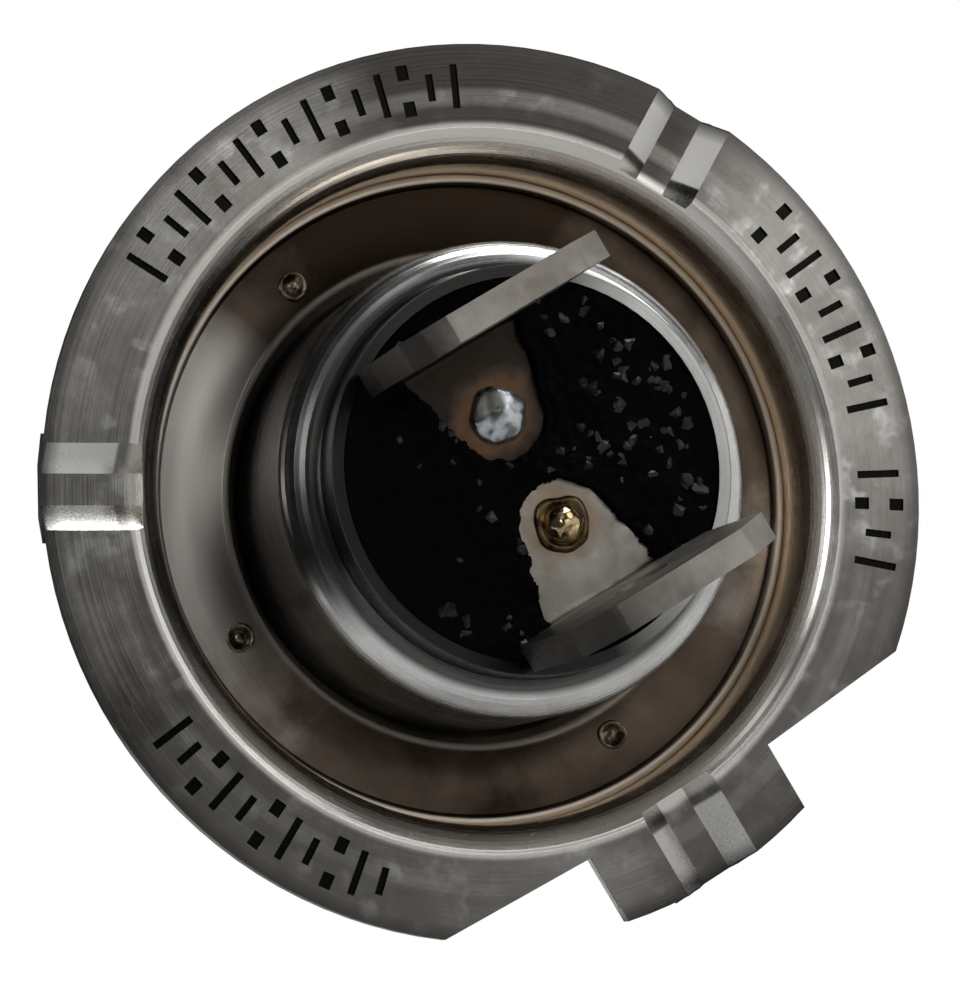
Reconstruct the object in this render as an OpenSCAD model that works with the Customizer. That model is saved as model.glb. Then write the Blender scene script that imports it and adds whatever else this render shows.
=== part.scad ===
// Halogen headlight bulb with a prefocus ring, two blade terminals and an axial filament.
// The lamp axis runs along Y: the glass tip is at +Y and the terminals are at -Y.
// The keying lug is at -Z. The origin is where the lamp axis meets the reference plane,
// which the front faces of the three bosses set.

/* [Prefocus ring] */
// Radius of the ring's outer edge
ring_r = 13; // [12.8:0.05:13.2]
// Thickness of the ring's sheet
ring_t = 0.5; // [0.4:0.05:0.55]
// Height of the three reference bosses
boss_h = 0.7; // [0.6:0.05:0.8]
// Width of a boss across its front face
boss_w = 1.5; // [1.2:0.1:1.8]
// Width of the keying lug
lug_w = 6.3; // [5.8:0.1:6.8]
// Distance from the axis to the flats beside the lug
flat_d = 10.5; // [10.4:0.1:10.9]
// Inner radius of the ring's collar
collar_r = 9.65; // [9.6:0.01:9.7]
// Length of the collar in front of the reference plane
collar_l = 2.2; // [1.8:0.1:2.6]
// Depth of the stamped marks in the ring's rear face
mark_depth = 0.1; // [0.05:0.05:0.2]

/* [Focusing dome and sleeve] */
// Radius of the hole in the dome
dome_hole_r = 7.2; // [7.15:0.05:7.3]
// Thickness of the dome's sheet
dome_t = 0.4; // [0.3:0.05:0.45]
// Thickness of the sleeve's sheet
sleeve_t = 0.35; // [0.25:0.05:0.35]
// Front end of the sleeve
sleeve_y = 5; // [4.5:0.1:5.5]
// Radius of a weld spot
weld_r = 0.35; // [0.25:0.05:0.4]

/* [Base shell] */
// Outer radius of the shell
shell_r = 6.8; // [6.7:0.05:6.8]
// Outer radius of the shell's neck
neck_r = 5.75; // [5.7:0.05:5.8]
// Thickness of the shell's sheet
shell_t = 0.35; // [0.3:0.05:0.35]
// Front end of the shell
shell_y = 7; // [6.6:0.1:7.4]

/* [Terminals] */
// Width of a terminal blade
blade_w = 6.3; // [6:0.1:6.6]
// Thickness of a terminal blade
blade_t = 0.8; // [0.6:0.05:0.9]
// Distance between the middles of the two blades
blade_gap = 8.7; // [8.5:0.1:8.8]
// Distance from the reference plane to the blade tips
blade_tip = 11.9; // [11.5:0.1:13]
// Distance between the two lead wires
lead_gap = 3.5; // [3.4:0.1:3.7]

/* [Glass and filament] */
// Outer radius of the glass tube
glass_r = 5.8; // [5.6:0.05:6]
// Thickness of the glass wall
glass_t = 1.1; // [0.9:0.1:1.2]
// Distance from the reference plane to the glass tip
glass_tip = 42; // [41:0.5:43]
// Distance from the reference plane to the filament
filament_y = 25; // [24.8:0.1:25.2]
// Length of the filament coil
filament_l = 4.1; // [4:0.1:4.2]
// Radius of the filament coil at the middle of its wire
coil_r = 0.62; // [0.55:0.01:0.7]
// Radius of the filament wire
coil_wire_r = 0.11; // [0.09:0.01:0.12]
// Turns of the filament coil
coil_turns = 10; // [8:1:11]

/* [Hidden] */

round_fn = 96;
small_fn = 32;
eps = 0.02;

// Ring, from its rear face at ring_rear to its front face at ring_front
ring_front = -boss_h;
ring_rear = ring_front - ring_t;
bend_r = 1;
groove_w = 0.9;
groove_slope = 0.8;
boss_r0 = 10.2;
boss_angles = [-90, 30, 150];
flat_slope = 0.057;

// Stamped marks, as groups of start angle, end angle and number of marks
mark_groups = [[64, 118, 16], [-18, 12, 9], [-41, -28, 4], [186, 222, 11]];
mark_r = 11.75;
mark_w = 0.22;
mark_long = 1.3;
mark_short = 0.8;
mark_dot = [2 * mark_w, 2 * mark_depth, 1.6 * mark_w];
mark_dot_x = (mark_long - mark_w) / 2;

// Dome, a shallow arc in section between a small raised bead at its rim and the hole's rounded edge
skirt_r = collar_r;
rim_bead_r = 0.2;
hole_edge_r = 0.25;
dome_low = [skirt_r - 1.9 * rim_bead_r, 1.35];
dome_high = [dome_hole_r + hole_edge_r, 1.5];
dome_arc_r = 6;
skirt_y = 3.2;
weld_ring_r = 8.1;
weld_depth = 0.14;
weld_angles = [0, 100, 180, 270];

// Sleeve between the dome and the shell
sleeve_in_r = shell_r;
sleeve_out_r = sleeve_in_r + sleeve_t;
sleeve_flare_r = 8.8;
sleeve_touch_r = 7.75;
sleeve_weld_y = 3.9;

// Shell
shoulder_y = -3.9;
shoulder_r = 0.8;
neck_fillet = 0.3;
neck_y = -5.4;
shell_in_r = shell_r - shell_t;
neck_in_r = neck_r - shell_t;

// Insulator, cement and terminals
foot_front = -4.2;
insulator_front = -1;
step_y = -3;
foot_w = 3.7;
foot_end_r = 1.3;
bend_in_r = 0.2;
bend_end_y = foot_front - blade_t - bend_in_r;
blade_base_y = bend_end_y - 0.3;
blade_chamfer = 1.15;
latch_hole_r = 0.85;
latch_hole_y = 3.3;
tang = [1.6, 1.7, 0.8];
tang_z = 3.1;
bead_r = 0.8;
lead_r = 0.42;
lead_z = lead_gap / 2;

// Pinch seal, foils and inner leads
pinch_rear = -0.8;
pinch_front = 13.4;
pinch_w = 10.6;
pinch_t = 3.6;
rib_w = 1.7;
rib_t = 4.6;
foil = [0.06, 8, 2];
foil_y = 1.2;
wire_r = 0.32;
foil_front = foil_y + foil[1];
cavity_rear = 13.6;
tube_rear = 15.6;
tube_front = 34.6;
dome_h = 5.2;
nub_r = 1.1;
coating_y = 32.5;
coating_t = 0.06;
long_wire_z = 3.1;
wire_bend_y = 16.5;
hook_z = 1.9;

// ---- helpers ----

// Points of an arc in a section, from angle a0 to a1
function arc(c, r, a0, a1, n = 8) =
    [for (i = [0 : n]) let (a = a0 + (a1 - a0) * i / n) c + r * [cos(a), sin(a)]];

function unit(v) = v / norm(v);

function reverse(list) = [for (i = [len(list) - 1 : -1 : 0]) list[i]];

// Centre of the dome's arc, which bulges to the rear
dome_chord = dome_high - dome_low;
dome_c = (dome_low + dome_high) / 2
    + sqrt(dome_arc_r ^ 2 - (norm(dome_chord) / 2) ^ 2) * unit([dome_chord[1], -dome_chord[0]]);
function dome_angle(r, arc_r) = -acos((r - dome_c[0]) / arc_r);
function dome_y(r, arc_r) = dome_c[1] + arc_r * sin(dome_angle(r, arc_r));

// Turns a section, drawn as radius against Y, about the lamp axis
module lathe() {
    rotate([-90, 0, 0]) rotate_extrude($fn = round_fn) children();
}

// Places children drawn along Z so that they point along Y, at y
module along_y(y) {
    translate([0, y, 0]) rotate([-90, 0, 0]) children();
}

// Turns children about the lamp axis, to an angle measured from +X towards +Z
module at_angle(a) {
    rotate([0, -a, 0]) children();
}

// Rounds the corners of a path, starting a distance d before each corner
function rounded(path, d, n = 4) = [
    path[0],
    for (i = [1 : len(path) - 2])
        let (a = path[i] + d * unit(path[i - 1] - path[i]),
             b = path[i] + d * unit(path[i + 1] - path[i]))
        for (k = [0 : n]) let (t = k / n) (1 - t) ^ 2 * a + 2 * t * (1 - t) * path[i] + t ^ 2 * b,
    path[len(path) - 1]];

// A round wire swept along points; side is a direction that the points never run along
module swept(points, r, side, sides = 12) {
    n = len(points);
    rings = [for (i = [0 : n - 1])
        let (t = unit(points[min(i + 1, n - 1)] - points[max(i - 1, 0)]),
             u = unit(cross(t, side)),
             v = cross(u, t))
        for (k = [0 : sides - 1])
            let (a = 360 * k / sides) points[i] + r * (cos(a) * u + sin(a) * v)];
    walls = [for (i = [0 : n - 2], k = [0 : sides - 1])
        let (a = i * sides + k, b = i * sides + (k + 1) % sides)
        each [[a, b, a + sides], [b, b + sides, a + sides]]];
    caps = [[for (k = [sides - 1 : -1 : 0]) k], [for (k = [0 : sides - 1]) (n - 1) * sides + k]];
    polyhedron(rings, concat(walls, caps), convexity = 10);
}

// ---- base ----

// Sheet ring with a collar; the stamped bosses stand forward and leave grooves in its rear face
module prefocus_ring() {
    collar_out_r = collar_r + ring_t;
    slope = 2 * groove_slope;
    color([0.47, 0.46, 0.43]) difference() {
        union() {
            lathe() polygon(concat(
                [[ring_r, ring_rear], [ring_r, ring_front], [collar_out_r + 0.7, ring_front],
                [collar_out_r + 0.2, ring_front + 0.3], [collar_out_r, 0], [collar_out_r, collar_l],
                [collar_r, collar_l]],
                arc([collar_r + bend_r, ring_rear + bend_r], bend_r, 180, 270, 12)));
            for (a = boss_angles) at_angle(a)
                radial_bar([ring_front - eps, boss_w + slope], [0, boss_w], ring_r);
        }
        for (a = boss_angles) at_angle(a)
            radial_bar([ring_rear - eps, groove_w + slope], [ring_rear + boss_h, groove_w], ring_r + 1);
        lug_flats();
        stamped_marks();
    }
}

// A bar from boss_r0 out to radius r, whose width changes from start to end, each given as [y, width]
module radial_bar(start, end, r) {
    rotate([90, 0, 90]) translate([0, 0, boss_r0]) linear_extrude(r - boss_r0) polygon([
        [start[0], start[1] / 2], [start[0], -start[1] / 2], [end[0], -end[1] / 2], [end[0], end[1] / 2]]);
}

// One mark of a row along +X: in turn a long tick, a short tick and a pair of dots
module mark(i) {
    if (i % 3 == 2)
        for (x = [-mark_dot_x, mark_dot_x]) translate([x, 0, 0]) cube(mark_dot, center = true);
    else
        cube([i % 3 == 0 ? mark_long : mark_short, 2 * mark_depth, mark_w], center = true);
}

// Rows of radial marks in the ring's rear face
module stamped_marks() {
    for (group = mark_groups, i = [0 : group[2] - 1])
        at_angle(group[0] + (group[1] - group[0]) * i / (group[2] - 1))
            translate([mark_r, ring_rear, 0]) mark(i);
}

// The two flats that leave the lug standing between them
module lug_flats() {
    far = ring_r + 3;
    for (side = [-1, 1]) along_y(ring_rear - 1) linear_extrude(boss_h + ring_t + 2)
        polygon([[side * lug_w / 2, flat_d], [side * lug_w / 2, far], [side * far, far],
            [side * far, flat_d - flat_slope * (far - lug_w / 2)]]);
}

module focusing_dome() {
    a0 = dome_angle(dome_low[0], dome_arc_r);
    a1 = dome_angle(dome_high[0], dome_arc_r);
    inner_r = dome_arc_r - dome_t;
    in_a0 = dome_angle(dome_hole_r, inner_r);
    in_a1 = dome_angle(skirt_r - dome_t, inner_r);
    rim_bead_c = [skirt_r - rim_bead_r, dome_low[1]];
    hole_edge_c = [dome_high[0], dome_high[1] + hole_edge_r];
    color([0.46, 0.43, 0.39]) difference() {
        lathe() polygon(concat(
            [[skirt_r - dome_t, skirt_y], [skirt_r, skirt_y]],
            arc(rim_bead_c, rim_bead_r, 0, -150, 10),
            arc(dome_c, dome_arc_r, a0, a1, 10),
            arc(hole_edge_c, hole_edge_r, -100, -180, 4),
            arc(dome_c, inner_r, in_a0, in_a1, 10)));
        for (a = weld_angles) dome_spot(a)
            cylinder(r = weld_r, h = 2 * weld_depth, center = true, $fn = small_fn);
    }
}

// Puts children on the dome's rear face at the weld ring, square to the face
module dome_spot(a) {
    slope = dome_angle(weld_ring_r, dome_arc_r);
    at_angle(a) translate([weld_ring_r, dome_y(weld_ring_r, dome_arc_r), 0]) rotate([0, 0, slope])
        rotate([0, 90, 0]) children();
}

module dome_weld_spots() {
    color([0.3, 0.28, 0.25]) for (a = weld_angles)
        dome_spot(a) translate([0, 0, -weld_depth])
            cylinder(r = weld_r * 0.6, h = weld_depth * 0.8, $fn = small_fn);
}

// Thin sleeve that slides on the shell, with a flare that lies against the inside of the dome
module focusing_sleeve() {
    outer_arc = dome_arc_r - dome_t - eps;
    inner_arc = outer_arc - sleeve_t;
    touch_y = dome_y(sleeve_touch_r, outer_arc);
    flare_a = dome_angle(sleeve_flare_r, outer_arc);
    touch_a = dome_angle(sleeve_touch_r, outer_arc);
    in_flare_a = dome_angle(sleeve_flare_r - 0.25, inner_arc);
    in_touch_a = dome_angle(sleeve_touch_r, inner_arc);
    color([0.5, 0.49, 0.46]) difference() {
        lathe() polygon(concat(
            [[sleeve_in_r, sleeve_y], [sleeve_in_r, touch_y + 1.1], [sleeve_in_r + 0.15, touch_y + 0.55],
            [sleeve_in_r + 0.45, touch_y + 0.15]],
            reverse(arc(dome_c, outer_arc, flare_a, touch_a, 5)),
            arc(dome_c, inner_arc, in_flare_a, in_touch_a, 5),
            [[sleeve_out_r + 0.3, touch_y + 0.55], [sleeve_out_r + 0.1, touch_y + 0.8],
            [sleeve_out_r, touch_y + 1.2], [sleeve_out_r, sleeve_y]]));
        sleeve_spots(weld_depth);
    }
}

module sleeve_spots(depth) {
    for (a = weld_angles) at_angle(a + 45) translate([sleeve_out_r, sleeve_weld_y, 0]) rotate([0, 90, 0])
        cylinder(r = weld_r, h = 2 * depth, center = true, $fn = small_fn);
}

module sleeve_weld_spots() {
    color([0.3, 0.28, 0.25]) for (a = weld_angles)
        at_angle(a + 45) translate([sleeve_out_r - weld_depth, sleeve_weld_y, 0]) rotate([0, 90, 0])
            cylinder(r = weld_r * 0.6, h = weld_depth * 0.6, $fn = small_fn);
}

// Drawn shell with a rounded shoulder and a short neck at the rear
module base_shell() {
    outer = concat(
        arc([shell_r - shoulder_r, shoulder_y + shoulder_r], shoulder_r, 0, -90),
        arc([neck_r + neck_fillet, shoulder_y - neck_fillet], neck_fillet, 90, 180, 4));
    inner = concat(
        arc([shell_r - shoulder_r, shoulder_y + shoulder_r], shoulder_r - shell_t, 0, -90),
        arc([neck_r + neck_fillet, shoulder_y - neck_fillet], neck_fillet + shell_t, 90, 180, 4));
    color([0.62, 0.61, 0.58]) lathe() polygon(concat(
        [[shell_in_r, shell_y], [shell_r, shell_y]], outer,
        [[neck_r, neck_y], [neck_in_r, neck_y]], reverse(inner)));
}

// Slotted plate in the shell's mouth, with two pairs of tongues that grip the pinch
module pinch_clip() {
    plate_y = shell_y - 0.9;
    plate_t = 0.35;
    tongue = [plate_t, 2.6, 2.2];
    slot_t = rib_t + 0.3;
    lip = (slot_t - pinch_t) / 2;
    color([0.66, 0.65, 0.62]) union() {
        difference() {
            along_y(plate_y) cylinder(r = shell_in_r - eps, h = plate_t, $fn = round_fn);
            translate([-slot_t / 2, plate_y - 1, -pinch_w / 2 - 0.2]) cube([slot_t, 3, pinch_w + 0.4]);
        }
        for (side = [-1, 1], z = [-2, 2]) {
            translate([side * slot_t / 2 - plate_t / 2, plate_y, z - tongue[2] / 2]) cube(tongue);
            translate([side * (pinch_t / 2 + eps) - (side < 0 ? lip : 0),
                plate_y + tongue[1] - plate_t, z - tongue[2] / 2]) cube([lip, plate_t, tongue[2]]);
        }
    }
}

// ---- terminals and insulation ----

// Outline of a terminal's foot, a tongue that widens from its round end to the bend
module foot_outline() {
    bend_z = blade_gap / 2 - blade_t / 2 - bend_in_r;
    circle_a = 15;
    translate([0, lead_z]) circle(r = foot_end_r, $fn = small_fn);
    polygon([[-foot_w / 2, bend_z], [-foot_end_r * cos(circle_a), lead_z - foot_end_r * sin(circle_a)],
        [foot_end_r * cos(circle_a), lead_z - foot_end_r * sin(circle_a)], [foot_w / 2, bend_z]]);
}

// Terminal at +Z: a foot that lies on the insulator, a right-angle bend and a blade to the rear
module terminal() {
    z0 = blade_gap / 2 - blade_t / 2;
    difference() {
        union() {
            translate([0, foot_front, 0]) rotate([90, 0, 0]) linear_extrude(blade_t) foot_outline();
            translate([-foot_w / 2, bend_end_y, z0 - bend_in_r]) rotate([0, 90, 0])
                rotate([0, 0, 90]) rotate_extrude(angle = 90, $fn = round_fn)
                    translate([bend_in_r, 0]) square([blade_t, foot_w]);
            translate([0, 0, z0]) linear_extrude(blade_t) polygon([
                [-foot_w / 2, bend_end_y], [-foot_w / 2, blade_base_y], [-blade_w / 2, blade_base_y - 0.5],
                [-blade_w / 2, -blade_tip + blade_chamfer], [-blade_w / 2 + blade_chamfer, -blade_tip],
                [blade_w / 2 - blade_chamfer, -blade_tip], [blade_w / 2, -blade_tip + blade_chamfer],
                [blade_w / 2, blade_base_y - 0.5], [foot_w / 2, blade_base_y], [foot_w / 2, bend_end_y]]);
            translate([-tang[0] / 2, foot_front - eps, tang_z - tang[2] / 2]) cube(tang);
        }
        translate([0, -blade_tip + latch_hole_y, z0 - 1])
            cylinder(r = latch_hole_r, h = blade_t + 2, $fn = small_fn);
        translate([0, 0, lead_z]) along_y(foot_front - 2)
            cylinder(r = lead_r + eps, h = 4, $fn = small_fn);
    }
}

module terminal_blade_upper() {
    color([0.62, 0.6, 0.56]) terminal();
}

module terminal_blade_lower() {
    color([0.66, 0.63, 0.57]) mirror([0, 0, 1]) terminal();
}

// Rounded end of a lead wire, melted onto the foot
module lead_bead() {
    foot_rear = foot_front - blade_t;
    difference() {
        translate([0, foot_rear + 0.15, lead_z]) sphere(r = bead_r, $fn = small_fn);
        translate([-2, foot_rear, lead_z - 2]) cube([4, 4, 4]);
    }
}

module lead_bead_upper() {
    color([0.72, 0.74, 0.74]) lead_bead();
}

module lead_bead_lower() {
    color([0.75, 0.6, 0.32]) mirror([0, 0, 1]) lead_bead();
}

// Lead wire from the foil in the pinch to the bead
module outer_lead() {
    y = foot_front - blade_t;
    translate([0, 0, lead_z]) along_y(y) cylinder(r = lead_r, h = foil_y - y, $fn = small_fn);
}

module outer_lead_upper() {
    color([0.55, 0.53, 0.5]) outer_lead();
}

module outer_lead_lower() {
    color([0.55, 0.53, 0.5]) mirror([0, 0, 1]) outer_lead();
}

// Stepped ceramic disc with holes for the lead wires and slots for the terminals' tangs
module ceramic_insulator() {
    body_r = shell_in_r - eps;
    top_r = neck_in_r - eps;
    color([0.82, 0.8, 0.74]) difference() {
        lathe() polygon([[0, insulator_front], [body_r, insulator_front], [body_r, step_y],
            [top_r, step_y - (body_r - top_r) * 0.35], [top_r, foot_front], [0, foot_front]]);
        for (side = [-1, 1]) {
            translate([0, 0, side * lead_z]) along_y(foot_front - 1)
                cylinder(r = lead_r + eps, h = 6, $fn = small_fn);
            translate([-tang[0] / 2 - eps, foot_front - 1, side * tang_z - tang[2] / 2 - eps])
                cube([tang[0] + 2 * eps, tang[1] + 1 + eps, tang[2] + 2 * eps]);
        }
    }
}

// Black cement that seals the shell's neck around the terminals' feet
module sealing_cement() {
    color([0.03, 0.03, 0.035]) difference() {
        along_y(neck_y) cylinder(r = neck_in_r, h = foot_front - neck_y, $fn = round_fn);
        for (side = [0, 1]) mirror([0, 0, side]) {
            translate([0, foot_front + 1, 0]) rotate([90, 0, 0]) linear_extrude(3) foot_outline();
            translate([-foot_w / 2, neck_y - 1, blade_gap / 2 - blade_t / 2 - bend_in_r - eps])
                cube([foot_w, 3, blade_t + bend_in_r + 2 * eps]);
        }
    }
}

// ---- lamp ----

module foil_plate() {
    translate([-foil[0] / 2, foil_y, lead_z - foil[2] / 2]) cube(foil);
}

module seal_foil_upper() {
    color([0.4, 0.4, 0.42]) foil_plate();
}

module seal_foil_lower() {
    color([0.4, 0.4, 0.42]) mirror([0, 0, 1]) foil_plate();
}

filament_front = filament_y + filament_l;
long_wire_path = [
    [0, foil_front, lead_z], [0, cavity_rear + 0.9, lead_z], [coil_r, wire_bend_y, long_wire_z],
    [coil_r, filament_front + 1.1, long_wire_z], [coil_r, filament_front, long_wire_z - 1.1],
    [coil_r, filament_front, hook_z]];
short_wire_path = [
    [0, foil_front, -lead_z], [0, cavity_rear + 0.9, -lead_z], [coil_r, wire_bend_y, -lead_z],
    [coil_r, filament_y + 0.7, -lead_z]];

// Support wire to the filament's front end, which passes beside the coil
module long_support_wire() {
    color([0.6, 0.58, 0.55]) swept(rounded(long_wire_path, 0.4), wire_r, [1, 0, 0]);
}

// Support wire to the filament's rear end
module short_support_wire() {
    color([0.6, 0.58, 0.55]) swept(rounded(short_wire_path, 0.4), wire_r, [1, 0, 0]);
}

// Coil about the lamp axis, with a straight leg to each support wire
module filament_coil() {
    turn_steps = 14;
    helix = [for (i = [0 : turn_steps * coil_turns])
        let (a = 360 * i / turn_steps)
        [coil_r * cos(a), filament_y + filament_l * i / turn_steps / coil_turns, coil_r * sin(a)]];
    leg_rear = [coil_r, filament_y, wire_r - lead_z];
    leg_front = [coil_r, filament_front, hook_z];
    color([0.35, 0.35, 0.36]) swept(concat([leg_rear], helix, [leg_front]), coil_wire_r, [0, 1, 0], 8);
}

// Outer section of the tube, its domed end and the sealed-off nub
function glass_outline(r, grow) = concat(
    [[r, tube_rear]],
    [for (a = [0 : 8 : 80]) [r * cos(a), tube_front + (dome_h + grow) * sin(a)]],
    arc([0, glass_tip - coating_t - nub_r], nub_r + grow, -15, 90, 8));

module glass_tube() {
    in_r = glass_r - glass_t;
    difference() {
        lathe() polygon(concat([[0, pinch_front - 1.9], [3.6, pinch_front - 1.9], [5, pinch_front - 0.9]],
            glass_outline(glass_r, 0)));
        lathe() polygon(concat(
            [[0, cavity_rear], [2.8, cavity_rear], [in_r - 0.6, cavity_rear + 0.9], [in_r, tube_rear + 0.4]],
            [for (a = [0 : 10 : 90]) [in_r * cos(a), tube_front + (dome_h - glass_t) * sin(a)]]));
    }
}

// Flattened seal with a thicker rib along each edge
module pinch() {
    length = pinch_front - pinch_rear;
    translate([-pinch_t / 2, pinch_rear, -pinch_w / 2 + 0.1]) cube([pinch_t, length, pinch_w - 0.2]);
    for (side = [-1, 1]) translate([0, 0, side * (pinch_w - rib_w) / 2])
        translate([-rib_t / 2, pinch_rear, -rib_w / 2]) cube([rib_t, length, rib_w]);
}

// Quartz tube and its pinch seal, which holds the foils and the ends of the wires
module glass_envelope() {
    in_r = glass_r - glass_t;
    color([0.85, 0.9, 0.95, 0.3]) difference() {
        union() {
            glass_tube();
            difference() {
                pinch();
                along_y(cavity_rear) cylinder(r = in_r - 0.8, h = 3, $fn = round_fn);
            }
        }
        for (side = [0, 1]) mirror([0, 0, side]) {
            foil_plate();
            outer_lead();
            translate([0, 0, lead_z]) along_y(foil_front)
                cylinder(r = wire_r, h = cavity_rear - foil_front + 1, $fn = small_fn);
        }
    }
}

// Opaque coating on the outside of the glass tip
module tip_coating() {
    color([0.05, 0.05, 0.06]) difference() {
        lathe() polygon(concat([[0, coating_y]], [[glass_r + coating_t, coating_y]],
            [for (p = glass_outline(glass_r + coating_t, coating_t)) if (p[1] > coating_y) p]));
        lathe() polygon(concat([[0, coating_y - 1]], [[glass_r, coating_y - 1]],
            [for (p = glass_outline(glass_r, 0)) if (p[1] > coating_y) p]));
    }
}

prefocus_ring();
focusing_dome();
dome_weld_spots();
focusing_sleeve();
sleeve_weld_spots();
base_shell();
pinch_clip();
ceramic_insulator();
sealing_cement();
terminal_blade_upper();
terminal_blade_lower();
lead_bead_upper();
lead_bead_lower();
outer_lead_upper();
outer_lead_lower();
seal_foil_upper();
seal_foil_lower();
long_support_wire();
short_support_wire();
filament_coil();
glass_envelope();
tip_coating();
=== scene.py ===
"""Looks, light and camera for the halogen headlight bulb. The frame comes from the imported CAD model."""
import math
import random

import bmesh
import bpy
from mathutils import Matrix, Vector, noise
from mathutils.bvhtree import BVHTree


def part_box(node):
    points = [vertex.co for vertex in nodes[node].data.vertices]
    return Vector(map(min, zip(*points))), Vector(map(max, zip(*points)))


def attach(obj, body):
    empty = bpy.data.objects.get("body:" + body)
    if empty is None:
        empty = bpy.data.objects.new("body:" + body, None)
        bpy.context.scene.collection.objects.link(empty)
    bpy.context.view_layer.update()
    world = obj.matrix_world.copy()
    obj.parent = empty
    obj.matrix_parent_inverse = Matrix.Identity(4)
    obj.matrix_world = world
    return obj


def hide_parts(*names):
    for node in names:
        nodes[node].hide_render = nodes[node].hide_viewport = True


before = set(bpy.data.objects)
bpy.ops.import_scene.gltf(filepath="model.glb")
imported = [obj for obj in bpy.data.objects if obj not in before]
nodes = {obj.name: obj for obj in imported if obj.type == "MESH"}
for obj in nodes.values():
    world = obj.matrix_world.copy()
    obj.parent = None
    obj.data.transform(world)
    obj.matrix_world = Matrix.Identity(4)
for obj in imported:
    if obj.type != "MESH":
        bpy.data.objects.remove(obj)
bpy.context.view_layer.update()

MM = 0.001
random.seed(7)

# ---- places from the frame, in millimetres ----


def box_mm(name):
    lo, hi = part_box(name)
    return lo / MM, hi / MM


ring_lo, ring_hi = box_mm("prefocus_ring")
shell_lo, shell_hi = box_mm("base_shell")
cement_lo, cement_hi = box_mm("sealing_cement")
dome_lo, dome_hi = box_mm("focusing_dome")
glass_lo, glass_hi = box_mm("glass_envelope")
coating_lo, coating_hi = box_mm("tip_coating")
filament_lo, filament_hi = box_mm("filament_coil")
foil_lo, foil_hi = box_mm("seal_foil_upper")
bead_box = {side: box_mm("lead_bead_" + side) for side in ("upper", "lower")}
lead_z = {side: (lo.z + hi.z) / 2 for side, (lo, hi) in bead_box.items()}
ring_r = ring_hi.x
ring_rear = ring_lo.y
foot_rear = bead_box["upper"][1].y


# ---- small helpers for shader nodes ----

class Shader:
    """A material's node tree with a Principled shader."""

    def __init__(self, name, **values):
        self.material = bpy.data.materials.new(name)
        self.material.use_nodes = True
        self.tree = self.material.node_tree
        self.bsdf = self.tree.nodes["Principled BSDF"]
        for key, value in values.items():
            self.bsdf.inputs[key.replace("_", " ")].default_value = value

    def add(self, kind, settings=None, **inputs):
        """Makes a node. Each input is a value or an output to link, named with _ for a space."""
        made = self.tree.nodes.new("ShaderNode" + kind)
        for key, value in (settings or {}).items():
            setattr(made, key, value)
        for key, value in inputs.items():
            self.put(made.inputs[key.replace("_", " ")], value)
        return made

    def put(self, socket, value):
        if isinstance(value, bpy.types.NodeSocket):
            self.tree.links.new(value, socket)
        else:
            socket.default_value = value

    def math(self, operation, a, b=0.0):
        made = self.add("Math", {"operation": operation})
        self.put(made.inputs[0], a)
        self.put(made.inputs[1], b)
        return made.outputs[0]

    def between(self, value, low, high, out_low=0.0, out_high=1.0):
        """Maps value from low..high to out_low..out_high and holds it at the ends."""
        made = self.add("MapRange", Value=value, From_Min=low, From_Max=high, To_Min=out_low, To_Max=out_high)
        return made.outputs[0]

    def mix(self, factor, a, b):
        made = self.add("Mix", {"data_type": "RGBA"})
        for socket, value in zip((made.inputs[0], made.inputs[6], made.inputs[7]), (factor, a, b)):
            self.put(socket, value + (1,) if isinstance(value, tuple) else value)
        return made.outputs[2]

    def noise(self, vector, scale, detail=4.0, roughness=0.55):
        made = self.add("TexNoise", Vector=vector, Scale=scale, Detail=detail, Roughness=roughness)
        return made.outputs[0]

    def place(self):
        """Position in the object's frame, in millimetres, and its X, Y and Z."""
        scaled = self.add("VectorMath", {"operation": "SCALE"}, Scale=1 / MM)
        self.put(scaled.inputs[0], self.add("TexCoord").outputs["Object"])
        return scaled.outputs[0], self.add("SeparateXYZ", Vector=scaled.outputs[0]).outputs

    def lathe_place(self):
        """Radius and height about the lamp axis in millimetres, and the angle in radians."""
        _, (x, y, z) = self.place()
        radius = self.math("SQRT", self.math("ADD", self.math("MULTIPLY", x, x), self.math("MULTIPLY", z, z)))
        return radius, y, self.math("ARCTAN2", z, x)

    def sector(self, angle, centre, edge, full):
        """1 where the angle is within full degrees of the centre, falling to 0 at edge degrees."""
        cosine = self.math("COSINE", self.math("SUBTRACT", angle, math.radians(centre)))
        return self.between(cosine, math.cos(math.radians(edge)), math.cos(math.radians(full)))

    def vector(self, x, y, z):
        return self.add("CombineXYZ", X=x, Y=y, Z=z).outputs[0]

    def colour(self, value):
        self.put(self.bsdf.inputs["Base Color"], value)

    def rough(self, value):
        self.put(self.bsdf.inputs["Roughness"], value)

    def bump(self, height, strength, distance_mm):
        made = self.add("Bump", Strength=strength, Distance=distance_mm * MM, Height=height)
        self.put(self.bsdf.inputs["Normal"], made.outputs[0])

    def brush_around_axis(self, anisotropy):
        tangent = self.add("Tangent", {"direction_type": "RADIAL", "axis": "Y"})
        self.put(self.bsdf.inputs["Tangent"], tangent.outputs[0])
        self.bsdf.inputs["Anisotropic"].default_value = anisotropy
        self.bsdf.inputs["Anisotropic Rotation"].default_value = 0.25


# ---- materials ----

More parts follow.
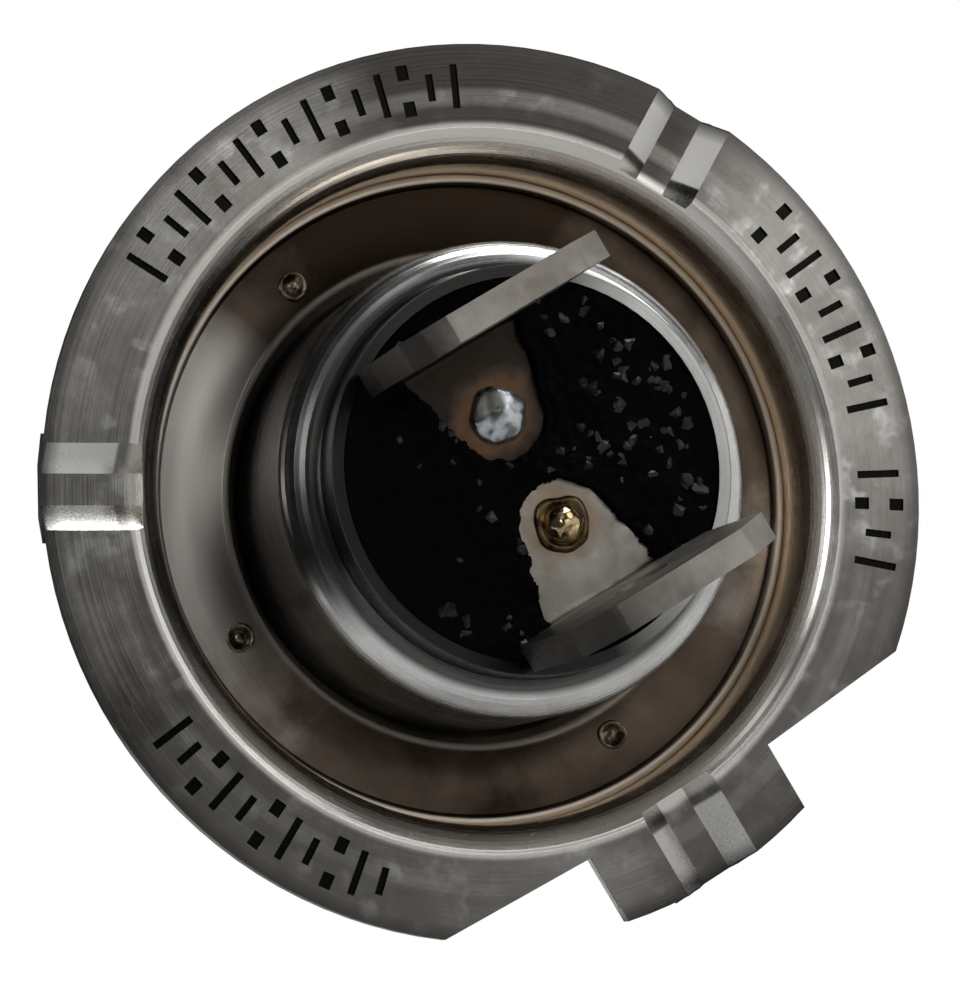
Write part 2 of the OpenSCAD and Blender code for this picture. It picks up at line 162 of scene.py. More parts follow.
def turned_metal(name, dark, light, rough, bump=0.15, anisotropy=0.5, patch=0.45):
    """Turned or drawn sheet with fine lines around the lamp axis and cloudy tarnished patches."""
    s = Shader(name, Metallic=1.0)
    position, _ = s.place()
    radius, height, angle = s.lathe_place()
    across = s.vector(s.math("MULTIPLY", radius, 14.0), s.math("MULTIPLY", height, 14.0), s.math("MULTIPLY", angle, 0.7))
    lines = s.noise(across, 1.0, 3.0)
    clouds = s.noise(position, patch, 5.0, 0.6)
    tone = s.math("ADD", s.math("MULTIPLY", lines, 0.3), s.math("MULTIPLY", clouds, 0.7))
    s.base = s.mix(s.between(tone, 0.38, 0.62), dark, light)
    s.colour(s.base)
    s.roughness = s.between(s.math("ADD", lines, clouds), 0.7, 1.3, rough - 0.06, rough + 0.06)
    s.rough(s.roughness)
    s.bump(s.math("ADD", lines, s.math("MULTIPLY", clouds, 0.6)), bump, 0.02)
    s.brush_around_axis(anisotropy)
    return s


def ring_metal():
    """Stamped flange: mottled grey, dark in its stamped marks, with painted highlights on its inner bend and groove
    walls, painted shade at its rim and in three sectors, and a painted brown reflection in the collar.
    """
    s = turned_metal("stamped_ring", (0.25, 0.238, 0.218), (0.42, 0.405, 0.375), 0.25, anisotropy=0.15)
    position, _ = s.place()
    radius, height, angle = s.lathe_place()
    patches = s.noise(position, 0.8, 3.0, 0.5)
    flecks = s.noise(s.vector(s.math("MULTIPLY", angle, 14.0), radius, height), 1.1, 2.0)
    scuffed = s.math("MULTIPLY", s.between(patches, 0.5, 0.66), s.between(flecks, 0.48, 0.6))
    toned = s.mix(s.math("MULTIPLY", scuffed, 0.7), s.base, (0.70, 0.69, 0.66))
    blotches = s.between(s.noise(position, 0.55, 4.0, 0.65), 0.52, 0.68)
    toned = s.mix(s.math("MULTIPLY", blotches, 0.5), toned, (0.17, 0.155, 0.135))
    # Painted highlight: the inner bend of the flange is pale all round.
    bend = s.between(radius, 10.7, 10.5)
    toned = s.mix(s.math("MULTIPLY", bend, 0.95), toned, (0.80, 0.78, 0.73))
    # Painted highlight: faces out past radius 10.9 that do not face the rear, the walls of the grooves and marks,
    # are near-white.
    facing = s.add("SeparateXYZ", Vector=s.add("TexCoord").outputs["Normal"]).outputs[1]
    walls = s.math("MULTIPLY", s.between(facing, -0.95, -0.85), s.between(radius, 10.9, 11.0))
    toned = s.mix(s.math("MULTIPLY", walls, s.math("LESS_THAN", radius, ring_r - 0.05)), toned, (0.96, 0.95, 0.92))
    # Painted shade: a sector at the top of the flange is made nearly black, a little less in the band at radius
    # 11.1 to 11.75.
    band = s.math("MULTIPLY", s.between(radius, 11.1, 11.3), s.between(radius, 11.75, 11.6))
    darkened = s.math("MULTIPLY", s.sector(angle, 52, 39, 22), s.between(band, 0.0, 1.0, 0.9, 0.55))
    on_flange = s.math("MULTIPLY", s.between(radius, 10.6, 10.75), s.between(walls, 0.0, 1.0, 1.0, 0.0))
    toned = s.mix(s.math("MULTIPLY", darkened, on_flange), toned, (0.035, 0.03, 0.026))
    # Painted shade: two more sectors of the flange are made dark, in blotches.
    painted_shade = s.math("ADD", s.sector(angle, 206, 45, 20), s.sector(angle, -70, 42, 22))
    blotchy = s.between(s.math("ADD", band, s.math("MULTIPLY", patches, 0.4)), 0.1, 1.2, 0.6, 0.3)
    painted_shade = s.math("MULTIPLY", s.math("MULTIPLY", painted_shade, blotchy), on_flange)
    toned = s.mix(painted_shade, toned, (0.06, 0.052, 0.045))
    matte_walls = s.math("MULTIPLY", walls, s.sector(angle, 30, 12, 10))
    s.rough(s.math("MAXIMUM", s.roughness, s.math("MULTIPLY", matte_walls, 0.65)))
    # Painted shade: a dark line along the outer edge, as shade on its rounded edge.
    rim = s.between(radius, ring_r - 0.5, ring_r - 0.1)
    toned = s.mix(s.math("MULTIPLY", rim, 0.7), toned, (0.07, 0.065, 0.06))
    # Painted reflection: the collar wall is a pale warm brown.
    wall = s.math("MULTIPLY", s.between(radius, 9.95, 9.75), s.between(height, ring_rear + 0.35, ring_rear + 0.8))
    toned = s.mix(wall, toned, (0.96, 0.83, 0.67))
    below_face = s.math("MULTIPLY", s.math("GREATER_THAN", height, ring_rear + 0.02),
        s.math("LESS_THAN", height, ring_rear + 0.14))
    in_marks = s.math("MULTIPLY", s.math("GREATER_THAN", radius, 10.9), s.math("LESS_THAN", radius, 12.6))
    off_grooves = s.math("LESS_THAN", s.math("SINE", s.math("MULTIPLY", angle, 3.0)), 0.93)
    marks = s.math("MULTIPLY", s.math("MULTIPLY", below_face, in_marks), off_grooves)
    s.colour(s.mix(marks, toned, (0.008, 0.008, 0.007)))
    return s.material


def dome_metal():
    """Sheet with tarnished brown patches laid out partly as painted shade, a painted highlight on one side, and
    painted highlights at its rim and its hole.
    """
    s = turned_metal("dome_metal", (0.50, 0.46, 0.41), (0.82, 0.78, 0.72), 0.3, 0.12, 0.7, 0.6)
    position, _ = s.place()
    radius, _, angle = s.lathe_place()
    # Painted light and shade: a pattern set by the angle, lighter on one side and darker at the top and bottom, is
    # added to the tarnish noise.
    twice = s.math("SINE", s.math("ADD", s.math("MULTIPLY", angle, 2.0), math.radians(-24)))
    once = s.math("COSINE", s.math("SUBTRACT", angle, math.radians(159)))
    around = s.math("SUBTRACT", s.math("MULTIPLY", twice, 0.6), s.math("MULTIPLY", once, 0.5))
    around = s.math("ADD", around, s.math("MULTIPLY", s.sector(angle, 88, 50, 20), 0.9))
    patches = s.math("ADD", around, s.math("MULTIPLY", s.noise(position, 0.35, 5.0, 0.6), 1.6))
    tarnish_and_shade = s.between(patches, -0.5, 0.8)
    brown = s.mix(s.between(patches, 0.4, 1.6), (0.20, 0.155, 0.12), (0.03, 0.02, 0.013))
    toned = s.mix(tarnish_and_shade, s.base, brown)
    # Painted highlight: a pale sector on one side.
    toned = s.mix(s.sector(angle, 147, 35, 10), toned, (0.90, 0.86, 0.80))
    # Painted highlights: pale lines along the outer rim and the edge of the hole, a little rougher.
    rim = s.between(radius, dome_hi.x - 0.28, dome_hi.x - 0.2)
    hole = s.between(radius, shell_hi.x + 0.62, shell_hi.x + 0.5)
    edges = s.math("MAXIMUM", rim, hole)
    s.colour(s.mix(edges, toned, (0.98, 0.90, 0.80)))
    s.rough(s.between(edges, 0.0, 1.0, 0.3, 0.45))
    return s.material


def sleeve_metal():
    """Thin sheet, with painted shade on its flare."""
    s = turned_metal("sleeve_metal", (0.50, 0.46, 0.42), (0.72, 0.68, 0.63), 0.35)
    radius, _, _ = s.lathe_place()
    # Painted shade: near-black out past radius 7.2, where the flare shows in the gap.
    s.colour(s.mix(s.between(radius, 7.2, 7.4), s.base, (0.02, 0.017, 0.014)))
    return s.material


def shell_metal():
    """Drawn nickel-coloured sheet, with a painted highlight on its shoulder, painted shade in front of it, on one
    side and toward the neck, dark at its mouth, and a painted highlight on one side of the mouth.
    """
    s = turned_metal("shell_metal", (0.74, 0.735, 0.72), (0.96, 0.955, 0.94), 0.26, 0.05, 0.2)
    position, _ = s.place()
    radius, height, angle = s.lathe_place()
    # Painted shade: darker in front of the shoulder, which leaves the shoulder as a painted highlight.
    side = s.between(height, shell_lo.y + 1.75, shell_lo.y + 2.3)
    toned = s.mix(side, s.base, (0.28, 0.255, 0.23))
    # Painted shade: a sector on one side is made nearly black.
    toned = s.mix(s.math("MULTIPLY", s.sector(angle, 138, 57, 32), 0.85), toned, (0.05, 0.047, 0.045))
    # Painted shade: darker inward of radius 6.3, toward the neck.
    toned = s.mix(s.between(radius, 6.3, 6.05), toned, (0.13, 0.125, 0.12))
    toned = s.mix(s.between(radius, 5.78, 5.7), toned, (0.035, 0.034, 0.033))
    # Painted highlight: a pale band on one side of the mouth, inward of radius 5.78.
    rim_highlight = s.math("MULTIPLY", s.between(radius, 5.78, 5.7), s.sector(angle, -22, 75, 45))
    s.colour(s.mix(rim_highlight, toned, (0.42, 0.415, 0.40)))
    return s.material


def terminal_metal(side):
    """Matte plated strip, with painted shade along one side of the blade, brown heat stains around the lead, and on
    the upper terminal a darker foot.
    """
    s = Shader("terminal_plating_" + side, Metallic=1.0)
    position, (x, y, z) = s.place()
    grain = s.noise(position, 3.0, 6.0, 0.6)
    clouds = s.noise(position, 0.7, 4.0)
    upper = side == "upper"
    plated = s.mix(s.between(clouds, 0.35, 0.65), (0.31, 0.285, 0.25), (0.47, 0.445, 0.40))
    # Painted shade: the blade is made dark toward one side, by x.
    shade_from, shade_to = (-1.9, -2.6) if upper else (0.6, -2.2)
    on_blade = s.between(y, foot_rear - 0.6, foot_rear - 1.0)
    painted_shade = s.math("MULTIPLY", s.between(s.math("ADD", x, clouds), shade_from + 0.5, shade_to + 0.5), on_blade)
    plated = s.mix(s.math("MULTIPLY", painted_shade, 0.85), plated, (0.03, 0.028, 0.026))
    to_lead = s.math("SUBTRACT", z, lead_z[side])
    reach = s.math("SQRT", s.math("ADD", s.math("MULTIPLY", x, x), s.math("MULTIPLY", to_lead, to_lead)))
    reach = s.math("ADD", reach, s.math("MULTIPLY", s.math("SUBTRACT", clouds, 0.5), 1.4))
    if upper:
        burnt = s.math("MULTIPLY", s.between(reach, 1.0, 1.5), s.between(y, foot_rear - 0.8, foot_rear - 0.3))
        plated = s.mix(s.between(y, foot_rear - 0.8, foot_rear - 0.3), plated, (0.07, 0.058, 0.05))
        plated = s.mix(s.between(reach, 0.8, 1.6, 1.0, 0.0), plated, (0.15, 0.085, 0.05))
        darkened = s.mix(burnt, plated, (0.035, 0.028, 0.022))
    else:
        darkened = s.mix(s.between(reach, 0.7, 1.5, 1.0, 0.0), plated, (0.34, 0.26, 0.18))
    s.colour(darkened)
    s.rough(s.between(grain, 0.3, 0.7, 0.32, 0.5))
    s.bump(grain, 0.25, 0.03)
    return s.material


def wire_metal(name, dark, light, rough=0.35):
    """Drawn wire or strip with streaks along the lamp axis."""
    s = Shader(name, Metallic=1.0)
    _, (x, y, z) = s.place()
    streaks = s.vector(s.math("MULTIPLY", x, 9.0), s.math("MULTIPLY", y, 0.6), s.math("MULTIPLY", z, 9.0))
    lines = s.noise(streaks, 1.5)
    s.colour(s.mix(s.between(lines, 0.35, 0.65), dark, light))
    s.rough(s.between(lines, 0.3, 0.7, rough - 0.08, rough + 0.1))
    s.bump(lines, 0.2, 0.02)
    return s.material


def bead_metal(name, dark, light, rough):
    """Metal that melted and set, with soft clouds of oxide."""
    s = Shader(name, Metallic=1.0)
    position, _ = s.place()
    clouds = s.noise(position, 2.2)
    s.colour(s.mix(s.between(clouds, 0.38, 0.6), dark, light))
    s.rough(s.between(clouds, 0.3, 0.7, rough, rough + 0.15))
    s.bump(clouds, 0.3, 0.08)
    return s.material


def cement_material():
    """Black cement with painted shade in its hollows and a faint glint on its grains."""
    s = Shader("black_cement", Specular_IOR_Level=0.03)
    position, _ = s.place()
    fine = s.noise(position, 6.0, 6.0, 0.65)
    # Painted shade: the colour follows the bump's noise, darker in the hollows.
    s.colour(s.mix(fine, (0.0004, 0.0004, 0.0005), (0.004, 0.004, 0.0045)))
    s.rough(s.between(fine, 0.35, 0.65, 0.42, 0.7))
    s.bump(fine, 0.6, 0.06)
    return s.material


def chip_material():
    """Smoky glassy grains."""
    s = Shader("glassy_grain", Specular_IOR_Level=0.35)
    position, _ = s.place()
    clouds = s.noise(position, 1.3, 3.0)
    fine = s.noise(position, 9.0, 3.0)
    s.colour(s.mix(s.between(clouds, 0.4, 0.62), (0.002, 0.0022, 0.003), (0.035, 0.038, 0.043)))
    s.rough(s.between(fine, 0.35, 0.65, 0.2, 0.45))
    s.bump(fine, 0.4, 0.03)
    return s.material


def ceramic_material():
    s = Shader("ceramic")
    position, _ = s.place()
    grain = s.noise(position, 5.0, 6.0)
    s.colour(s.mix(grain, (0.60, 0.56, 0.48), (0.80, 0.77, 0.70)))
    s.rough(s.between(grain, 0.3, 0.7, 0.6, 0.8))
    s.bump(grain, 0.3, 0.03)
    return s.material


def glass_material():
    """Clear quartz with faint drawing lines."""
    s = Shader("quartz", Base_Color=(0.97, 0.985, 1.0, 1), Transmission_Weight=1.0, IOR=1.458)
    _, height, angle = s.lathe_place()
    waves = s.noise(s.vector(s.math("MULTIPLY", angle, 3.0), s.math("MULTIPLY", height, 0.15), 0.0), 2.0, 2.0)
    s.rough(s.between(waves, 0.2, 0.8, 0.0, 0.03))
    s.bump(waves, 0.12, 0.05)
    return s.material


def coating_material():
    """Baked grey-black coating, a little uneven."""
    s = Shader("tip_coating", Specular_IOR_Level=0.5)
    position, _ = s.place()
    grain = s.noise(position, 4.0, 6.0, 0.6)
    clouds = s.noise(position, 0.5, 3.0)
    s.colour(s.mix(clouds, (0.010, 0.010, 0.012), (0.035, 0.034, 0.036)))
    s.rough(s.between(clouds, 0.3, 0.7, 0.28, 0.45))
    s.bump(grain, 0.2, 0.02)
    return s.material


def dress(name, material, bevel_mm=0.0):
    """Gives a CAD node its material and, where asked, narrow rounded edges."""
    target = nodes[name]
    target.data.materials.clear()
    target.data.materials.append(material)
    if bevel_mm:
        edges = target.modifiers.new("rounded_edges", "BEVEL")
        edges.width = bevel_mm * MM
        edges.segments = 2
        edges.limit_method = "ANGLE"
        edges.angle_limit = math.radians(50)


def dress_nodes():
    dome = dome_metal()
    shell = shell_metal()
    clip = wire_metal("clip_metal", (0.42, 0.41, 0.39), (0.60, 0.59, 0.57), 0.28)
    weld = bead_metal("weld_metal", (0.06, 0.05, 0.035), (0.24, 0.2, 0.15), 0.2)
    lead = wire_metal("lead_metal", (0.35, 0.34, 0.33), (0.55, 0.54, 0.52))
    foil = wire_metal("foil_metal", (0.22, 0.22, 0.23), (0.40, 0.40, 0.42), 0.45)
    filament = wire_metal("filament_metal", (0.16, 0.16, 0.17), (0.34, 0.34, 0.35), 0.4)
    cement = cement_material()
    glass = glass_material()
    dress("prefocus_ring", ring_metal(), 0.05)
    dress("focusing_dome", dome)
    dress("dome_weld_spots", weld)
    dress("focusing_sleeve", sleeve_metal())
    dress("sleeve_weld_spots", weld)
    dress("base_shell", shell, 0.04)
    dress("pinch_clip", clip)
    dress("ceramic_insulator", ceramic_material())
    dress("sealing_cement", cement)
    for side in ("upper", "lower"):
        dress("terminal_blade_" + side, terminal_metal(side), 0.2)
        dress("outer_lead_" + side, lead)
        dress("seal_foil_" + side, foil)
    dress("lead_bead_upper", bead_metal("silver_bead", (0.42, 0.46, 0.48), (0.72, 0.76, 0.78), 0.24))
    dress("lead_bead_lower", bead_metal("golden_bead", (0.36, 0.25, 0.12), (0.78, 0.64, 0.38), 0.1))
    dress("long_support_wire", lead)
    dress("short_support_wire", lead)
    dress("filament_coil", filament)
    dress("glass_envelope", glass)
    dress("tip_coating", coating_material())


def material_of(name):
    return nodes[name].data.materials[0]


# ---- pieces ----

def new_piece(name, mesh, material, replaced=(), hollow=()):
    """Adds a smooth-shaded piece, whose mesh is in millimetres, to the object's one body.

    The faces around a hollow are turned to face into it.
    """
    bmesh.ops.recalc_face_normals(mesh, faces=mesh.faces)
    bmesh.ops.reverse_faces(mesh, faces=list(hollow))
    bmesh.ops.scale(mesh, vec=(MM, MM, MM), verts=mesh.verts)
    for face in mesh.faces:
        face.smooth = True
    data = bpy.data.meshes.new(name)
    mesh.to_mesh(data)
    mesh.free()
    data.materials.append(material)
    piece = bpy.data.objects.new(name, data)
    bpy.context.scene.collection.objects.link(piece)
    if replaced:
        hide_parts(*replaced)
    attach(piece, "root")
    return piece


def bridge_rings(mesh, rings):
    """Joins rows of points into walls, each row closed on itself, and returns the rows' vertices."""
    rows = [[mesh.verts.new(point) for point in ring] for ring in rings]
    for row, following in zip(rows, rows[1:]):
        for i in range(len(row)):
            j = (i + 1) % len(row)
            mesh.faces.new((row[i], row[j], following[j], following[i]))
    return rows


def solid_of(name):
    """The node's CAD mesh in millimetres, for rays and distances."""
    mesh = bmesh.new()
    mesh.from_mesh(nodes[name].data)
    bmesh.ops.scale(mesh, vec=(1 / MM, 1 / MM, 1 / MM), verts=mesh.verts)
    tree = BVHTree.FromBMesh(mesh)
    mesh.free()
    return tree


cement_r = cement_hi.x
cement_solid = solid_of("sealing_cement")


def cement_here(x, z):
    """True where the CAD cement reaches its rear face, and not over a terminal's foot."""
    hit = cement_solid.ray_cast(Vector((x, cement_lo.y - 3, z)), Vector((0, 1, 0)))[0]
    return hit is not None and hit.y < cement_lo.y + 0.2


def cement_height(x, z):
    """Y of the cement's grainy rear surface, with ragged edges around the feet."""
    spot = Vector((x, 0, z))
    drift = noise.noise_vector(spot * 2.3) * 0.2 + noise.noise_vector(spot * 6) * 0.04
    if not cement_here(x + drift.x, z + drift.z) and math.hypot(x, z) < cement_r - 0.1:
        return foot_rear + 0.25
    near, _ = noise.voronoi(spot * 3.2)
    grain = 0.16 * max(0.0, 0.5 - near[0])
    swell = 0.10 * noise.noise(spot * 0.8) + 0.06 * noise.fractal(spot * 4, 0.6, 2.1, 4)
    rise = 0.10 * max(0.0, math.hypot(x, z) - cement_r + 0.7)
    return cement_lo.y + 0.17 - grain - swell - rise


def make_cement():
    """Grainy cement disc, as rings of points out to the shell's neck."""
    steps, sides = 60, 288
    mesh = bmesh.new()
    rings = []
    for i in range(1, steps + 1):
        radius = (cement_r - 0.01) * i / steps
        turns = [2 * math.pi * k / sides for k in range(sides)]
        spots = [(radius * math.cos(turn), radius * math.sin(turn)) for turn in turns]
        rings.append([(x, min(cement_height(x, z), cement_hi.y - 0.1), z) for x, z in spots])
    rings.append([(x, cement_hi.y, z) for x, _, z in rings[-1]])
    rings.append([(x * 0.01, cement_hi.y, z * 0.01) for x, _, z in rings[-1]])
    rows = bridge_rings(mesh, rings)
    mesh.faces.new(rows[0])
    mesh.faces.new(rows[-1])
    new_piece("cement_surface", mesh, material_of("sealing_cement"), ["sealing_cement"])


def add_chip(mesh, centre, size, flat):
    """A broken grain: the hull of random points, wider than it is high."""
    points = []
    for _ in range(11):
        way = Vector((random.gauss(0, 1), random.gauss(0, 1), random.gauss(0, 1))).normalized()
        points.append(mesh.verts.new(centre + Vector((way.x * size, way.y * size * flat, way.z * size))))
    hull = bmesh.ops.convex_hull(mesh, input=points)
    bmesh.ops.delete(mesh, geom=list(set(hull["geom_interior"] + hull["geom_unused"])), context="VERTS")


def make_chips():
    """Glassy grains set in the cement, larger and closer together on one side, with a little loose debris."""
    mesh = bmesh.new()
    placed = 0
    while placed < 90:
        turn = random.uniform(0, 2 * math.pi)
        radius = (cement_r - 0.35) * math.sqrt(random.random())
        x, z = radius * math.cos(turn), radius * math.sin(turn)
        if random.random() > 0.42 + 0.11 * x or not cement_here(x, z):
            continue
        size = random.uniform(0.08, 0.2) + 0.015 * max(0.0, x)
        add_chip(mesh, Vector((x, cement_height(x, z) + 0.02, z)), size, 0.6)
        placed += 1
    for x, z, size in ((-4.2, -2.2, 0.34), (-3.9, -2.6, 0.24), (-4.1, -3.0, 0.22), (-2.8, -4.1, 0.24),
            (4.6, -1.1, 0.24), (3.9, -2.9, 0.27), (4.4, 0.4, 0.22), (3.4, 1.8, 0.2)):
        add_chip(mesh, Vector((x, cement_height(x, z), z)), size, 0.6)
    piece = new_piece("cement_grains", mesh, chip_material())
    for polygon in piece.data.polygons:
        polygon.use_smooth = False


def bead_mesh(centre, radius, squash, lumps):
    """A drop on the foot's rear face: a ball with soft lumps, cut off by the foot."""
    mesh = bmesh.new()
    bmesh.ops.create_icosphere(mesh, subdivisions=5, radius=1.0)
    for vert in mesh.verts:
        way = vert.co.normalized()
        swell = 1 + lumps * noise.noise(way * 1.7 + centre) + 0.25 * lumps * noise.noise(way * 3.2)
        vert.co = centre + Vector((way.x, way.y * squash, way.z)) * radius * swell
        vert.co.y = min(vert.co.y, foot_rear + 0.03)
    return mesh


def make_beads():
    """A lumpy silvery drop on the upper foot; a small golden drop in a dark ring on the lower."""
    upper = Vector((0, foot_rear + 0.12, lead_z["upper"]))
    lower = Vector((0, foot_rear + 0.05, lead_z["lower"]))
    silver = bead_mesh(upper, 0.84, 0.8, 0.13)
    new_piece("silver_drop", silver, material_of("lead_bead_upper"), ["lead_bead_upper"])
    golden = bead_mesh(lower, 0.58, 1.15, 0.07)
    new_piece("golden_drop", golden, material_of("lead_bead_lower"), ["lead_bead_lower"])
    burnt = bead_metal("burnt_ring", (0.05, 0.035, 0.02), (0.20, 0.14, 0.08), 0.25)
    section = ((0.44, 0.04), (0.48, -0.03), (0.55, -0.05), (0.62, -0.10), (0.7, -0.12), (0.77, -0.08), (0.84, 0.04))
    mesh = bmesh.new()
    rings = []
    for radius, rise in section:
        ring = []
        for k in range(96):
            turn = 2 * math.pi * k / 96
            way = Vector((math.cos(turn), 0, math.sin(turn)))
            wave = 1 + 0.16 * noise.noise(way * 1.5 + Vector((3, radius, 1)))
            ring.append((way.x * radius * wave, foot_rear + rise * wave, lower.z + way.z * radius * wave))
        rings.append(ring)
    rings.append(rings[0])
    bridge_rings(mesh, rings)
    bmesh.ops.remove_doubles(mesh, verts=mesh.verts, dist=1e-5)
    new_piece("burnt_ring_lower", mesh, burnt)


def make_dimples():
    """Spot welds on the dome: a dark pit with a raised rim and a paler middle, one on each CAD weld spot."""
    mesh = bmesh.new()
    mesh.from_mesh(nodes["dome_weld_spots"].data)
    bmesh.ops.scale(mesh, vec=(1 / MM, 1 / MM, 1 / MM), verts=mesh.verts)
    spots = {}
    for vert in mesh.verts:
        quarter = round(math.atan2(vert.co.z, vert.co.x) / math.radians(30)) % 12
        spots.setdefault(quarter, []).append(vert.co.copy())
    mesh.free()
    mesh = bmesh.new()
    section = ((0.44, 0.02), (0.42, -0.03), (0.36, -0.05), (0.30, 0.0), (0.24, 0.06), (0.18, 0.05), (0.1, 0.0), (0.02, -0.01))
    for points in spots.values():
        middle = sum(points, Vector()) / len(points)
        middle.y = min(point.y for point in points) - 0.02
        out = Vector((middle.x, 0, middle.z)).normalized()
        along = Vector((-out.z, 0, out.x))
        rings = []
        for radius, rise in section:
            ring = []
            for k in range(48):
                turn = 2 * math.pi * k / 48
                wave = 1 + 0.08 * noise.noise(Vector((math.cos(turn), math.sin(turn), middle.x + radius)))
                place = middle + radius * wave * (math.cos(turn) * out + math.sin(turn) * along)
                ring.append(place + Vector((0, rise, 0)))
            rings.append(ring)
        rows = bridge_rings(mesh, rings)
        mesh.faces.new(rows[0])
        mesh.faces.new(rows[-1])
    new_piece("weld_dimples", mesh, material_of("dome_weld_spots"), ["dome_weld_spots"])


GLASS_R = glass_hi.x
SEAL_FRONT = 11.3
TUBE_REAR = 14.2
TUBE_FRONT = 34.6
DOME_H = 5.2
NUB_R = 1.1
WALL = 1.1
COAT = 0.06


def smooth_step(value, low, high):
    """Rises smoothly from 0 at low to 1 at high."""
    t = min(1.0, max(0.0, (value - low) / (high - low)))
    return t * t * (3 - 2 * t)


def quartz_section(y, shrink=0.0):
    """Points around the quartz at y: flat with two thick ribs in the seal, growing round into the tube."""
    rounding = smooth_step(y, SEAL_FRONT, TUBE_REAR)
    half_w = 5.28 - shrink
    points = []
    for k in range(128):
        turn = 2 * math.pi * k / 128
        sine, cosine = math.sin(turn), math.cos(turn)
        rib = smooth_step(abs(sine), 0.6, 0.72)
        flat = (1.78 + 0.5 * rib - shrink) * (1 - abs(sine) ** 14) ** (1 / 14)
        x = math.copysign(flat, cosine) * (1 - rounding) + GLASS_R * cosine * rounding
        z = sine * (half_w * (1 - rounding) + GLASS_R * rounding)
        points.append((x, y, z))
    return points


def round_section(radius, y):
    turns = [2 * math.pi * k / 128 for k in range(128)]
    return [(radius * math.cos(turn), y, radius * math.sin(turn)) for turn in turns]


def tip_profile(grow):
    """Radius and Y along the domed end and the sealed-off nub, moved out by grow."""
    dome_turns = [math.radians(4 * i) for i in range(18)]
    nub_turns = [math.radians(9 * i) for i in range(10)]
    nub_y = coating_hi.y - COAT - NUB_R
    profile = [(GLASS_R * math.cos(turn), TUBE_FRONT + DOME_H * math.sin(turn)) for turn in dome_turns]
    profile += [(1.5, 39.8), (1.27, 40.12), (1.14, 40.5)]
    profile += [(NUB_R * math.cos(turn), nub_y + NUB_R * math.sin(turn)) for turn in nub_turns]
    moved = []
    for i, (radius, y) in enumerate(profile):
        before = profile[max(0, i - 1)]
        after = profile[min(len(profile) - 1, i + 1)]
        out = Vector((after[1] - before[1], before[0] - after[0])).normalized()
        moved.append((max(0.01, radius + grow * out.x), y + grow * out.y))
    return moved


def make_glass():
    """Quartz bulb: a flattened seal that swells into a tube with a domed end, hollow around the filament."""
    mesh = bmesh.new()
    rings = []
    for angle in range(0, 91, 15):
        turn = math.radians(angle)
        rings.append(quartz_section(glass_lo.y + 0.3 * (1 - math.cos(turn)), 0.3 * (1 - math.sin(turn))))
    rings += [quartz_section(y) for y in (3, 6, 9)]
    rings += [quartz_section(SEAL_FRONT + 0.145 * i) for i in range(21)]
    rings += [round_section(GLASS_R, y) for y in range(18, 34, 3)]
    rings += [round_section(radius, y) for radius, y in tip_profile(0.0)]
    rows = bridge_rings(mesh, rings)
    mesh.faces.new(rows[0])
    mesh.faces.new(rows[-1])
    outside = set(mesh.faces)
    bore = GLASS_R - WALL
    turns = [math.radians(6 * i) for i in range(1, 15)]
    rings = [round_section(bore * math.sin(turn), 16.6 - 3 * math.cos(turn)) for turn in turns]
    rings += [round_section(bore, y) for y in range(19, 34, 3)]
    rings += [round_section(bore * math.cos(turn), TUBE_FRONT + (DOME_H - WALL) * math.sin(turn)) for turn in turns]
    rows = bridge_rings(mesh, rings)
    mesh.faces.new(rows[0])
    mesh.faces.new(rows[-1])
    hollow = [face for face in mesh.faces if face not in outside]
    new_piece("quartz_bulb", mesh, material_of("glass_envelope"), ["glass_envelope"], hollow)


def make_coating():
    """Opaque skin on the tube's domed end, with a slightly wavy rear edge."""
    mesh = bmesh.new()
    rings = []
    for grow in (0.0, COAT):
        rings.append([(x, y + 0.25 * noise.noise(Vector((x, 0, z)) * 0.35), z)
            for x, y, z in round_section(GLASS_R + grow - 0.002, coating_lo.y + 0.3)])
    rings += [round_section(radius, y) for radius, y in tip_profile(COAT)]
    inner = [round_section(max(0.01, radius - 0.002), y) for radius, y in tip_profile(0.0)]
    rings += inner[::-1]
    rings.append(rings[0])
    bridge_rings(mesh, rings)
    bmesh.ops.remove_doubles(mesh, verts=mesh.verts, dist=1e-6)
    new_piece("coating_skin", mesh, material_of("tip_coating"), ["tip_coating"])


# ---- camera ----

def make_camera():
    """Looks at the terminals from the left, rolled so that the keying lug is at the lower right."""
    azimuth, elevation, roll = (math.radians(angle) for angle in (-16.45, 1.6, 31.8))
    distance = 110
    ring_width_in_view = 2 * 452.8 / 993
    back = Vector((math.sin(azimuth) * math.cos(elevation), -math.cos(azimuth) * math.cos(elevation),
        math.sin(elevation)))
    up = Vector((math.sin(roll), 0, math.cos(roll)))
    up = (up - up.dot(back) * back).normalized()
    right = up.cross(back)
    aim = Vector((0, ring_rear, 0)) - 0.42 * right - 0.27 * up
    data = bpy.data.cameras.new("camera")
    data.sensor_width = 36
    data.lens = data.sensor_width * ring_width_in_view * distance / (2 * ring_r)
    data.clip_start = MM
    camera = bpy.data.objects.new("camera", data)
    camera.matrix_world = Matrix((right, up, back)).transposed().to_4x4()
    camera.location = (aim + distance * back) * MM
    bpy.context.scene.collection.objects.link(camera)
    bpy.context.scene.camera = camera
    return right, up, back


# ---- floor, world and lights ----

